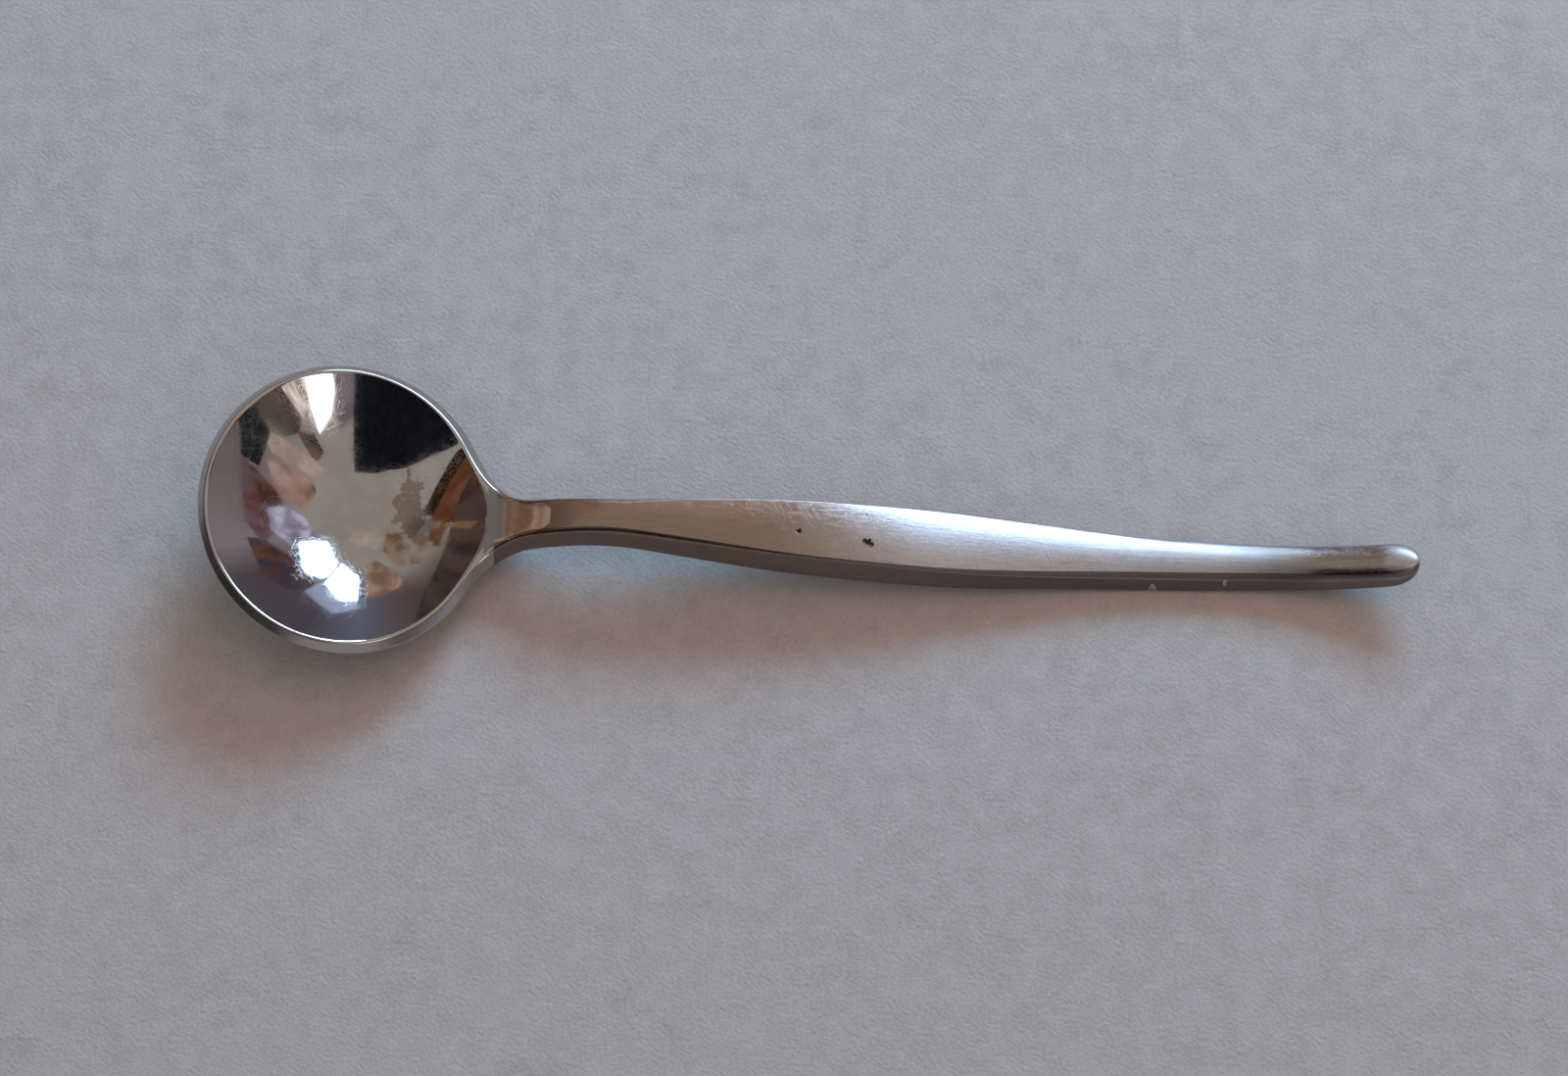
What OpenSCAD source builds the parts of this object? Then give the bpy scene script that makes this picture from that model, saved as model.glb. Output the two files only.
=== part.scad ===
// Teaspoon with a round hollow bowl, pinched neck, swelling grip and upturned handle end.
// Lengths are in millimetres. The spoon lies along X, bowl towards -X, on a table at Z = 0.
// The shapes are worked out from the middle of the bowl, and every node is then moved so that
// the origin is under the middle of the whole spoon.

/* [Overall] */
// Length of the whole spoon, from the lip of the bowl to the end of the handle
overall_len = 130; // [122:1:145]

/* [Bowl] */
// Length of the hollow, along the spoon
hollow_len = 28.4; // [26:0.1:30]
// Width of the hollow, across the spoon
hollow_w = 30.3; // [26:0.1:36]
// Depth of the hollow below the plane of the rim
hollow_depth = 6; // [4.5:0.25:8]
// Thickness of the sheet at the bottom of the bowl
bowl_wall = 1.1; // [0.9:0.05:1.8]
// Slope of the rim's plane in degrees, front lip up
rim_tilt = 13; // [4:1:16]
// Width of the flat land round the hollow
rim_land = 0.25; // [0.2:0.05:0.6]
// How far the slanted face of the rim stands out past the land
rim_out = 0.85; // [0.5:0.05:1.2]
// Height of the slanted face of the rim
rim_drop = 1; // [0.7:0.05:1.4]
// Diameter of the small flat under the bowl
rest_d = 5; // [3:0.5:7]

/* [Shoulders and neck] */
// Distance from the middle of the bowl to the plane where the bowl ends and the shoulders start
bowl_cut = 16; // [15.8:0.1:17]
// Distance from that plane to the end of the shoulders
shoulder_at = 4.2; // [3.2:0.2:5.6]
// Distance from that plane to the end of the bright polish
polish_at = 6; // [5.6:0.2:10]
// Distance from that plane to the top of the arch
arch_at = 12.2; // [11.2:0.5:17.2]
// Width across the top face of the neck
neck_w = 3.7; // [3:0.1:5]
// Height of the side face of the neck
neck_side = 3.3; // [2.4:0.1:4]
// How much wider each side is where the shoulders end
neck_flare = 0.14; // [0.05:0.01:0.4]
// Height of the underside at the top of the arch
arch_h = 5; // [4:0.25:6]
// Radius of the bend from the bowl up to the arch, seen from the side
bend_r = 19; // [18:0.2:26]
// Softness of the dip between the rim and the neck
dip_soft = 2.4; // [2:0.2:5]

/* [Grip] */
// Distance from the plane where the bowl ends to the start of the grip
grip_start = 26; // [20:1:34]
// Distance from the plane where the bowl ends to the widest place of the grip
grip_at = 47; // [42:1:52]
// Width across the top face of the grip
grip_w = 6.7; // [5:0.1:8.5]
// Height of the crown of the grip's top face
crown_h = 0.8; // [0.4:0.05:1.4]
// How far each side face stands out at its foot
side_out = 1.05; // [0.6:0.05:1.5]
// Radius that softens the edges of the grip
soft_r = 0.6; // [0.3:0.05:0.8]
// Share of that softness on the crisper edge, on the +Y side, beyond the neck
crisp_share = 0.35; // [0.2:0.05:1]

/* [Handle end] */
// Distance from the plane where the bowl ends to the heel, where the handle touches the table
heel_at = 70.7; // [66.7:1:75.7]
// Distance from the plane where the bowl ends to the waist in front of the end
waist_at = 84; // [80:1:88]
// Width across the top face at the waist and the end
end_w = 3.75; // [3:0.05:5]
// Height of the underside of the end above the table
end_lift = 4.3; // [2:0.1:6]
// Length over which the end rounds off
end_round = 3; // [2:0.1:4]

/* [Hidden] */

// Radius that softens the edge between the land and the slanted face of the rim
rim_r = 0.14;
// Softness of the hollow of the underside where the neck meets the bowl
root_soft = 2.4;
// Share of that softness where the shoulders leave the bowl
root_share = 0.01;
// Length beyond the neck over which the edge on the +Y side becomes crisper
crisp_run = 10;
// Angle round the bowl, from the handle's side, where the shoulders leave the rim
leave_deg = 31;
// How much sooner the foot of the shoulders runs out than their top edge
foot_lead = 0.4;
// Share of the shoulders over which their side face gets its full height
side_share = 0.8;
// Shares by which the underside and the hollow are fuller near the rim than a plain parabola.
// The hollow's is negative: its wall leans back a little before it reaches the rim.
full_share = 0.15;
hollow_full_share = -0.15;

// Widening of the top face from the neck to the grip: place share, width share
widen_shares = [[0, 0], [0.24, 0.36], [0.54, 0.81], [0.85, 0.985], [1, 1]];
// Narrowing of the top face from the grip to the waist: place share, width share
narrow_shares = [[0, 1], [0.28, 0.74], [0.57, 0.32], [0.85, 0.075], [1, 0]];
// Fall of the underside from the arch to the heel: place share, height share
arch_shares = [[0, 1], [0.144, 0.91], [0.325, 0.72], [0.506, 0.51], [0.69, 0.284], [0.873, 0.09], [1, 0]];
// Height of the side face from the arch to the end: place share, share of the neck's
side_shares = [[0, 1], [0.1, 1.03], [0.22, 1.02], [0.34, 0.92], [0.46, 0.79], [0.58, 0.745], [0.7, 0.73],
    [0.82, 0.67], [0.92, 0.62], [1, 0.56]];
// Stand-out of the side face's foot from the arch to the end: place share, share of side_out
out_shares = [[0, 0.67], [0.15, 0.88], [0.34, 1], [0.46, 0.95], [0.54, 0.83], [0.7, 0.8], [0.83, 0.73],
    [1, 0.62]];
// Height of the crown from the arch to the end: place share, share of crown_h
crown_shares = [[0, 0.14], [0.1, 0.28], [0.2, 0.42], [0.3, 0.74], [0.4, 1], [0.65, 1], [0.83, 0.9], [1, 0.8]];
// Softness of the edges from the arch to the end: place share, share of soft_r
soft_shares = [[0, 0.3], [0.3, 0.42], [0.45, 0.7], [0.65, 1], [1, 1]];
// Power with which the underside lifts from the heel to the end
lift_power = 2.6;
// Power of the curve that rounds off the end
round_power = 2.3;
// Share of its size that the end keeps at its last ring
last_share = 0.32;
// Share of the end's rounding that its thickness takes
pinch_share = 0.75;

// Share of the way from the middle to the rim that the hollow never passes
land_share = 0.985;

// Counts of the facets
across = 8;
round_cols = 44;
corner_cols = 4;
edge_count = 6;
hollow_rings = 11;
under_rings = 9;
shoulder_rings = 9;
stem_rings = 9;
grip_rings = 14;
end_rings = 9;
tip_rings = 6;
// Steps in which the place where the hollow meets the land is found
meet_steps = 6;

// The same places, measured from the middle of the bowl
shoulder_x = bowl_cut + shoulder_at;
polish_x = bowl_cut + polish_at;
arch_x = bowl_cut + arch_at;
grip_x = bowl_cut + grip_start;
wide_x = bowl_cut + grip_at;
heel_x = bowl_cut + heel_at;
waist_x = bowl_cut + waist_at;

hollow_a = hollow_len / 2;
hollow_b = hollow_w / 2;
land_a = hollow_a + rim_land;
land_b = hollow_b + rim_land;
outer_a = land_a + rim_out;
outer_b = land_b + rim_out;
outer_depth = hollow_depth + bowl_wall - rim_drop;
tilt = tan(rim_tilt);
// The softened foot of the rim's face draws the front of the bowl in by a little
front_slant = norm([rim_out, rim_drop - rim_out * tilt]);
x_front = -outer_a + rim_r * (1 + rim_out / front_slant) / 4;
x_end = x_front + overall_len;
x_mid = (x_front + x_end) / 2;
rest_r = rest_d / 2;
// The lowest place of the tilted bowl, and how far its curve would sink below the flat
under_bend = 2 * outer_depth * (1 - full_share) / (outer_a * outer_a);
rest_x = tilt / under_bend;
rest_sink = rest_r * rest_r * under_bend / 2;
rim_z = rest_x * tilt + rim_drop + outer_dish(rest_x / outer_a) - rest_sink;

function square_of(v) = v * v;
function mix(a, b, t) = a + (b - a) * t;
function ease(t) = let (c = min(max(t, 0), 1)) c * c * (3 - 2 * c);
// The larger and the smaller of two heights, rounded over where they meet
function soft_max(a, b, k) = max(a, b) + square_of(max(k - abs(a - b), 0)) / (4 * k);
function soft_min(a, b, k) = -soft_max(-a, -b, k);

// A smooth curve through rows of shares, level at both ends
function row_of(rows, t, i = 0) = (i >= len(rows) - 2 || t < rows[i + 1][0]) ? i : row_of(rows, t, i + 1);
function slope_of(rows, i) = (i == 0 || i == len(rows) - 1) ? 0
    : (rows[i + 1][1] - rows[i - 1][1]) / (rows[i + 1][0] - rows[i - 1][0]);
function bridge(s, d, y0, m0, y1, m1) =
    (2 * s * s * s - 3 * s * s + 1) * y0 + (s * s * s - 2 * s * s + s) * d * m0
    + (3 * s * s - 2 * s * s * s) * y1 + (s * s * s - s * s) * d * m1;
function follow(rows, t) =
    let (c = min(max(t, 0), 1), i = row_of(rows, c), d = rows[i + 1][0] - rows[i][0])
    bridge((c - rows[i][0]) / d, d, rows[i][1], slope_of(rows, i), rows[i + 1][1], slope_of(rows, i + 1));

// Depth of a dish at a share u of its radius, by its depth and by how full it is near the rim
function dish(u, deep, full) = deep * (1 - u * u) * (1 + full * u * u);
function outer_dish(u) = dish(u, outer_depth, full_share);
function hollow_dish(u) = dish(u, hollow_depth, hollow_full_share);
function along(x) = (x - arch_x) / (x_end - arch_x);

// Plane of the rim, the handle's underside, and the height of the top edge
function rim_at(x) = rim_z - x * tilt;
function under_at(x) = arch_h * follow(arch_shares, (x - arch_x) / (heel_x - arch_x))
    + end_lift * pow(max(x - heel_x, 0) / (x_end - heel_x), lift_power);
function side_at(x) = x < arch_x
    ? mix(rim_drop, neck_side, ease((x - leave_x) / (shoulder_x - leave_x) / side_share))
    : neck_side * follow(side_shares, along(x));
function neck_top(x) = arch_h + neck_side - square_of(arch_x - x) / (2 * bend_r);
function edge_at(x) = x < arch_x ? soft_max(rim_at(x), neck_top(x), dip_soft) : under_at(x) + side_at(x);

// Half widths of the handle's top face and of its foot
function handle_half(x) = x < arch_x
    ? neck_w / 2 + neck_flare * square_of((arch_x - x) / (arch_x - shoulder_x))
    : x < wide_x ? mix(neck_w, grip_w, follow(widen_shares, (x - arch_x) / (wide_x - arch_x))) / 2
    : mix(end_w, grip_w, follow(narrow_shares, (x - wide_x) / (waist_x - wide_x))) / 2;
function out_at(x) = side_out * follow(out_shares, along(x));
function crisp_at(x) = mix(1, crisp_share, ease((x - arch_x) / crisp_run));
function soft_at(x) =
    mix(rim_r, soft_r * follow(soft_shares, along(x)), ease((x - leave_x) / (arch_x - leave_x)));

// The shoulders leave the rim along its own direction and run into the neck
leave_x = land_a * cos(leave_deg);
foot_leave_x = outer_a * cos(leave_deg);
foot_end_x = shoulder_x - foot_lead;
function shoulder_half(x) =
    bridge((x - leave_x) / (shoulder_x - leave_x), shoulder_x - leave_x,
        land_b * sin(leave_deg), -land_b / land_a / tan(leave_deg),
        handle_half(shoulder_x), -2 * neck_flare / (arch_x - shoulder_x));
function shoulder_foot(x) =
    bridge((x - foot_leave_x) / (foot_end_x - foot_leave_x), foot_end_x - foot_leave_x,
        outer_b * sin(leave_deg), -outer_b / outer_a / tan(leave_deg),
        handle_half(foot_end_x) + out_at(foot_end_x), -2 * neck_flare / (arch_x - shoulder_x));
function top_half(x) = x < shoulder_x ? shoulder_half(x) : handle_half(x);
function foot_half(x) = x < foot_end_x ? shoulder_foot(x) : handle_half(x) + out_at(x);

// Height of the crown in the middle of the top face
function crown_at(x) =
    crown_h * follow(crown_shares, along(x)) * ease((x - shoulder_x) / (arch_x - shoulder_x));

// Heights of the upper and lower surfaces over any place of the plan
function radius_share(x, y, a, b) = sqrt(square_of(x / a) + square_of(y / b));
function hollow_z(x, y) = rim_at(x) - hollow_dish(radius_share(x, y, hollow_a, hollow_b));
function top_z(x, y) = x < shoulder_x ? min(hollow_z(x, y), edge_at(x))
    : edge_at(x) + crown_at(x) * (1 - square_of(y / top_half(x)));
function under_z(x, y) =
    let (v = radius_share(x, y, outer_a, outer_b), low = edge_at(x) - side_at(x))
    x > arch_x ? low
    : x < leave_x ? min(rim_at(x) - rim_drop - outer_dish(v), low)
    : soft_min(rim_at(x) - rim_drop - outer_dish(v), low,
        mix(root_soft * root_share, root_soft, ease((x - leave_x) / (shoulder_x - leave_x))));

// Edge of the plan from the top face, round two softened corners, to the underside.
// t and b are the corners in plan, and r and q their softening radii.
function step_from(p, q, d) = p + (q - p) * min(d / norm(q - p), 1 / 2);
function corner(a, c, b) = (a + 2 * c + b) / 4;
function lift(p, z) = [p[0], p[1], z];
function edge_points(t, b, r) =
    let (n = (b - t) / norm(b - t),
        t_in = t - n * r,
        b_in = b - n * r,
        t3 = lift(t, edge_at(t[0])),
        b3 = lift(b, under_z(b[0], b[1])),
        a3 = lift(t_in, top_z(t_in[0], t_in[1])),
        e3 = lift(b_in, under_z(b_in[0], b_in[1])),
        f3 = step_from(t3, b3, r),
        g3 = step_from(b3, t3, r))
    [a3, corner(a3, t3, f3), f3, g3, corner(g3, b3, e3), e3];

// The bowl: a fan of columns round its middle. The first ones lie on the plane where it is cut.
cut_cols = [for (j = [0 : across]) 2 * j / across - 1];
function cut_column(s) =
    let (r = soft_at(bowl_cut), yt = (top_half(bowl_cut) - r) * s, yb = (foot_half(bowl_cut) - r) * s,
        p = [bowl_cut, yt, top_z(bowl_cut, yt)], q = [bowl_cut, yb, under_z(bowl_cut, yb)])
    abs(s) == 1
        ? edge_points([bowl_cut, s * top_half(bowl_cut)], [bowl_cut, s * foot_half(bowl_cut)], r)
        : [for (k = [0 : edge_count - 1]) mix(p, q, k / (edge_count - 1))];
function side_column(i, s) =
    let (xt = mix(bowl_cut, leave_x, i / corner_cols), xb = mix(bowl_cut, foot_leave_x, i / corner_cols))
    edge_points([xt, s * shoulder_half(xt)], [xb, s * shoulder_foot(xb)], soft_at(xt));
function round_column(i) =
    let (d = mix(leave_deg, 360 - leave_deg, i / round_cols))
    edge_points([land_a * cos(d), land_b * sin(d)], [outer_a * cos(d), outer_b * sin(d)], rim_r);
bowl_columns = concat(
    [for (s = cut_cols) cut_column(s)],
    [for (i = [1 : corner_cols]) side_column(i, 1)],
    [for (i = [1 : round_cols - 1]) round_column(i)],
    [for (i = [corner_cols : -1 : 1]) side_column(i, -1)]);

// Rings of points on the hollow, on the land and on the underside
function flat_of(p) = [p[0], p[1]];
// Radius share at which the hollow has risen by a height above the rim's plane
function rise_share(rise) = let (f = hollow_full_share)
    sqrt((sqrt(square_of(1 - f) + 4 * f * (1 + rise / hollow_depth)) - (1 - f)) / (2 * f));
// Place where the hollow meets the land, found in a few steps along the line from the middle
function meet(d, u, steps) = steps == 0 ? d * u
    : meet(d, rise_share(edge_at(d[0] * u) - rim_at(d[0] * u)), steps - 1);
function hollow_edge(p) =
    let (reach = radius_share(p[0], p[1], hollow_a, hollow_b), q = meet(flat_of(p) / reach, 1, meet_steps))
    norm(q) < norm(flat_of(p)) * land_share ? q : flat_of(p) * land_share;
function ring_share(k) = sin(90 * k / hollow_rings);
function hollow_ring(k) = [for (c = bowl_columns)
    let (q = hollow_edge(c[0]) * ring_share(k)) lift(q, hollow_z(q[0], q[1]))];
land_ring = [for (c = bowl_columns)
    let (q = mix(hollow_edge(c[0]), flat_of(c[0]), 1 / 2)) lift(q, top_z(q[0], q[1]))];
function rest_edge(p) = let (d = flat_of(p) - [rest_x, 0]) [rest_x, 0] + d * rest_r / norm(d);
function under_ring(k) = [for (c = bowl_columns)
    let (e = c[edge_count - 1], q = mix(flat_of(e), rest_edge(e), sin(90 * k / under_rings)))
    lift(q, k == under_rings ? 0 : max(under_z(q[0], q[1]), 0))];

// A closed skin over rings that run from one pole to the other
function flat_list(lists) = [for (l = lists) each l];
module skin(first, rings, last) {
    n = len(rings[0]);
    m = len(rings);
    points = concat([first], flat_list(rings), [last]);
    polyhedron(points, concat(
        [for (j = [0 : n - 1]) [0, 1 + (j + 1) % n, 1 + j]],
        [for (i = [0 : m - 2], j = [0 : n - 1])
            [1 + i * n + j, 1 + i * n + (j + 1) % n, 1 + (i + 1) * n + j]],
        [for (i = [0 : m - 2], j = [0 : n - 1])
            [1 + i * n + (j + 1) % n, 1 + (i + 1) * n + (j + 1) % n, 1 + (i + 1) * n + j]],
        [for (j = [0 : n - 1]) [1 + m * n, 1 + (m - 1) * n + j, 1 + (m - 1) * n + (j + 1) % n]]));
}

// One section across the handle, as a ring of points. k shrinks it towards its middle.
function section(x, k = 1) =
    let (r = soft_at(x) * k, c = r * crisp_at(x), w = top_half(x) * k, f = foot_half(x) * k,
        mid = (edge_at(x) + crown_at(x) + under_z(x, 0)) / 2,
        right = edge_points([x, w], [x, f], c),
        left = edge_points([x, -w], [x, -f], r),
        top = [for (s = cut_cols) let (y = mix(r - w, w - c, (s + 1) / 2)) [x, y, top_z(x, y / k)]],
        low = [for (s = cut_cols) let (y = mix(f - c, r - f, (s + 1) / 2)) [x, y, under_z(x, y)]],
        ring = concat(top, [for (i = [1 : edge_count - 2]) right[i]], low,
            [for (i = [edge_count - 2 : -1 : 1]) left[i]]),
        squeeze = mix(1, k, pinch_share))
    [for (p = ring) [p[0], p[1], mid + (p[2] - mid) * squeeze]];
module bar(rings) {
    n = len(rings[0]);
    m = len(rings);
    polyhedron(flat_list(rings), concat(
        [[for (j = [n - 1 : -1 : 0]) j]],
        [for (i = [0 : m - 2], j = [0 : n - 1]) [i * n + j, i * n + (j + 1) % n, (i + 1) * n + j]],
        [for (i = [0 : m - 2], j = [0 : n - 1])
            [i * n + (j + 1) % n, (i + 1) * n + (j + 1) % n, (i + 1) * n + j]],
        [[for (j = [0 : n - 1]) (m - 1) * n + j]]));
}
function rings_between(x0, x1, steps) = [for (i = [0 : steps]) section(mix(x0, x1, i / steps))];
// The end rounds off: its rings shrink as they near it, along a rounded curve
function reach_share(k) = pow(1 - pow(k, round_power), 1 / round_power);
function tip_ring(i) = let (k = mix(1, last_share, i / tip_rings))
    section(x_end - end_round + end_round * reach_share(k) / reach_share(last_share), k);

module bowl() {
    color([0.78, 0.77, 0.76])
    translate([-x_mid, 0, 0])
    skin([0, 0, edge_at(0) - hollow_dish(0)],
        concat([for (k = [1 : hollow_rings]) hollow_ring(k)],
            [land_ring],
            [for (k = [0 : edge_count - 1]) [for (c = bowl_columns) c[k]]],
            [for (k = [1 : under_rings]) under_ring(k)]),
        [rest_x, 0, 0]);
}
module shoulders() {
    color([0.72, 0.7, 0.68])
    translate([-x_mid, 0, 0])
    bar(rings_between(bowl_cut, polish_x, shoulder_rings));
}
module stem() {
    color([0.6, 0.56, 0.53])
    translate([-x_mid, 0, 0])
    bar(rings_between(polish_x, grip_x, stem_rings));
}
module grip() {
    color([0.64, 0.6, 0.57])
    translate([-x_mid, 0, 0])
    bar(rings_between(grip_x, heel_x, grip_rings));
}
module handle_end() {
    color([0.6, 0.56, 0.54])
    translate([-x_mid, 0, 0])
    bar(concat(
        rings_between(heel_x, x_end - end_round, end_rings),
        [for (i = [1 : tip_rings]) tip_ring(i)]));
}

bowl();
shoulders();
stem();
grip();
handle_end();
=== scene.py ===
"""A steel teaspoon: a round polished bowl, a pinched and arched neck, and a satin handle that swells
at the grip and turns up at its end. It lies on a sheet of paper under soft studio light."""
import math

import bpy
import numpy as np
from mathutils import Matrix, Vector


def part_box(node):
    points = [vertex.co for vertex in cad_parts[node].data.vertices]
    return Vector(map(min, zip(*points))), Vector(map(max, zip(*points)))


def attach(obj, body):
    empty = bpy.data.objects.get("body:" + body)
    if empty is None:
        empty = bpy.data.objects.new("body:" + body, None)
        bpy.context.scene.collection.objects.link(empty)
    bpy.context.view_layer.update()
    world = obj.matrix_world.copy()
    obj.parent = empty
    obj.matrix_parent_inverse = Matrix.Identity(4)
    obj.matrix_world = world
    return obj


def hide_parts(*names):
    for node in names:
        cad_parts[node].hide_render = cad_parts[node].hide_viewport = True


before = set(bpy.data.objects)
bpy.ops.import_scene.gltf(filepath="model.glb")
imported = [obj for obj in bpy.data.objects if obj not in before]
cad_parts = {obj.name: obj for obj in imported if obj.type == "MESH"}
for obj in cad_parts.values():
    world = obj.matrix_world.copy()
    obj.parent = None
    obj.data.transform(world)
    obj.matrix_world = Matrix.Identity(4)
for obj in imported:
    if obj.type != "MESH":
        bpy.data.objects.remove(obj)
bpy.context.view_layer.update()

# Sizes of the spoon in millimetres, under the names that its construction gives them.
# Places along the spoon are measured from the middle of the bowl, and its length and the planes
# between its parts come from the frame.
MM = 0.001
hollow_len = 28.4
hollow_w = 30.3
hollow_depth = 6.0
bowl_wall = 1.1
rim_tilt = 13.0
rim_land = 0.25
rim_out = 0.85
rim_drop = 1.0
rim_r = 0.14
rest_d = 5.0
shoulder_run = 4.2
arch_run = 12.2
wide_run = 47.0
waist_run = 84.0
neck_w = 3.7
neck_side = 3.3
neck_flare = 0.14
arch_h = 5.0
bend_r = 19.0
dip_soft = 3.2
root_soft = 2.4
root_share = 0.01
leave_deg = 31.0
foot_lead = 0.4
side_share = 0.8
full_share = 0.15
hollow_full_share = -0.15
grip_w = 6.7
crown_h = 0.8
side_out = 1.05
soft_r = 0.6
crisp_share = 0.35
crisp_run = 10.0
end_w = 3.75
end_lift = 4.3
end_round = 3.0
lift_power = 2.6
round_power = 2.3
pinch_share = 0.75

# Sizes that only the finished surface has. The radius that breaks the inner edge of the rim, and how much
# the rim gives way, so that its smooth outline stays inside the straight sides of the frame's
lip_soft = 0.1
slack = 0.0035
# Extra softness of the edges at the neck, and its share round the tip, which it reaches over a run
neck_soft = 0.36
tip_share = 1.3
tip_run = 6.0
# How far the top face falls at the end, over which run, and how much softer the edges get as the end closes
end_drop = 0.5
drop_run = 3.5
close_soft = 0.8

# Curves along the handle, as rows of place share and size share
widen_shares = [[0, 0], [0.24, 0.36], [0.54, 0.81], [0.85, 0.985], [1, 1]]
narrow_shares = [[0, 1], [0.28, 0.74], [0.57, 0.32], [0.85, 0.075], [1, 0]]
arch_shares = [[0, 1], [0.144, 0.91], [0.325, 0.72], [0.506, 0.51], [0.69, 0.284], [0.873, 0.09], [1, 0]]
side_shares = [[0, 1], [0.1, 1.03], [0.22, 1.02], [0.34, 0.92], [0.46, 0.79], [0.58, 0.745], [0.7, 0.73],
               [0.82, 0.67], [0.92, 0.62], [1, 0.56]]
out_shares = [[0, 0.67], [0.15, 0.88], [0.34, 1], [0.46, 0.95], [0.54, 0.83], [0.7, 0.8], [0.83, 0.73],
              [1, 0.62]]
crown_shares = [[0, 0.14], [0.1, 0.27], [0.2, 0.36], [0.3, 0.53], [0.38, 0.7], [0.46, 0.82], [0.55, 0.87],
                [0.68, 0.87], [0.83, 0.86], [1, 0.8]]
soft_shares = [[0, 0.3], [0.3, 0.42], [0.45, 0.7], [0.65, 1], [1, 1]]

hollow_a = hollow_len / 2
hollow_b = hollow_w / 2
land_a = hollow_a + rim_land
land_b = hollow_b + rim_land
outer_a = land_a + rim_out - slack
outer_b = land_b + rim_out - 5 * slack
outer_depth = hollow_depth + bowl_wall - rim_drop
tilt = math.tan(math.radians(rim_tilt))
rest_r = rest_d / 2
under_bend = 2 * outer_depth * (1 - full_share) / outer_a ** 2
rest_x = tilt / under_bend
front_slant = math.hypot(rim_out, rim_drop - rim_out * tilt)
x_front = -outer_a - slack + rim_r * (1 + rim_out / front_slant) / 4
x_mid = x_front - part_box("bowl")[0].x / MM
bowl_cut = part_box("bowl")[1].x / MM + x_mid
polish_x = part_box("shoulders")[1].x / MM + x_mid
grip_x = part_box("stem")[1].x / MM + x_mid
heel_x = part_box("grip")[1].x / MM + x_mid
x_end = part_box("handle_end")[1].x / MM + x_mid
shoulder_x = bowl_cut + shoulder_run
arch_x = bowl_cut + arch_run
wide_x = bowl_cut + wide_run
waist_x = bowl_cut + waist_run
leave_x = land_a * math.cos(math.radians(leave_deg))
foot_leave_x = outer_a * math.cos(math.radians(leave_deg))
foot_end_x = shoulder_x - foot_lead


def mix(a, b, t):
    """a at share 0, b at share 1 and a straight line between."""
    return a + (b - a) * t


def ease(t):
    """Rises from 0 to 1 as t does: 3 t squared less 2 t cubed."""
    c = np.clip(t, 0, 1)
    return c * c * (3 - 2 * c)


def soft_max(a, b, k):
    """The larger of two heights, with the corner between them rounded over a difference of k."""
    return np.maximum(a, b) + np.maximum(k - np.abs(a - b), 0) ** 2 / (4 * k)


def soft_min(a, b, k):
    """The smaller of two heights, rounded in the same way."""
    return -soft_max(-a, -b, k)


def bridge(s, d, y0, m0, y1, m1):
    """Cubic over a length d that leaves y0 with slope m0 and arrives at y1 with slope m1, at share s."""
    return ((2 * s ** 3 - 3 * s ** 2 + 1) * y0 + (s ** 3 - 2 * s ** 2 + s) * d * m0
            + (3 * s ** 2 - 2 * s ** 3) * y1 + (s ** 3 - s ** 2) * d * m1)


# Share of its whole run over which a curve is averaged, to each side, and in how many places
smooth_reach = 0.03
smooth_steps = 7


def follow(rows, t):
    """Smooth curve through rows of shares: cubics whose slopes at each row are those of the chord between
    its neighbours. It is averaged over a short reach, which takes the kinks out of its bends."""
    rows = np.asarray(rows, float)
    slopes = np.zeros(len(rows))
    slopes[1:-1] = (rows[2:, 1] - rows[:-2, 1]) / (rows[2:, 0] - rows[:-2, 0])
    total = 0
    reaches = np.linspace(-smooth_reach, smooth_reach, smooth_steps)
    for reach in reaches:
        c = np.clip(np.asarray(t, float) + reach, 0, 1)
        i = np.clip(np.searchsorted(rows[:, 0], c, side="right") - 1, 0, len(rows) - 2)
        d = rows[i + 1, 0] - rows[i, 0]
        total = total + bridge((c - rows[i, 0]) / d, d, rows[i, 1], slopes[i], rows[i + 1, 1], slopes[i + 1])
    return total / len(reaches)


def dish(u, deep, full):
    """Depth of a dish at share u of its radius: a parabola, fuller towards the rim by a share."""
    return deep * (1 - u * u) * (1 + full * u * u)


def outer_dish(u):
    """Depth of the bowl's underside below the foot of the rim."""
    return dish(u, outer_depth, full_share)


def hollow_dish(u):
    """Depth of the hollow below the rim."""
    return dish(u, hollow_depth, hollow_full_share)


rest_sink = rest_r ** 2 * under_bend / 2
rim_z = rest_x * tilt + rim_drop + outer_dish(rest_x / outer_a) - rest_sink - 2.5 * slack


def along(x):
    """Share of the way from the top of the arch to the end of the handle."""
    return (x - arch_x) / (x_end - arch_x)


def rim_at(x):
    """Height of the rim's plane, which falls towards the handle."""
    return rim_z - x * tilt


def under_at(x):
    """Height of the handle's underside: the arch down to the heel, then a power curve up to the end."""
    return (arch_h * follow(arch_shares, (x - arch_x) / (heel_x - arch_x))
            + end_lift * (np.maximum(x - heel_x, 0) / (x_end - heel_x)) ** lift_power)


def side_at(x):
    """Height of the side face: the rim's, growing over the shoulders to the neck's, then by shares, less a
    parabola that rounds the top face down at the end."""
    shoulder = mix(rim_drop, neck_side, ease((x - leave_x) / (shoulder_x - leave_x) / side_share))
    drop = end_drop * np.maximum((x - x_end) / drop_run + 1, 0) ** 2
    return np.where(x < arch_x, shoulder, neck_side * follow(side_shares, along(x)) - drop)


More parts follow.
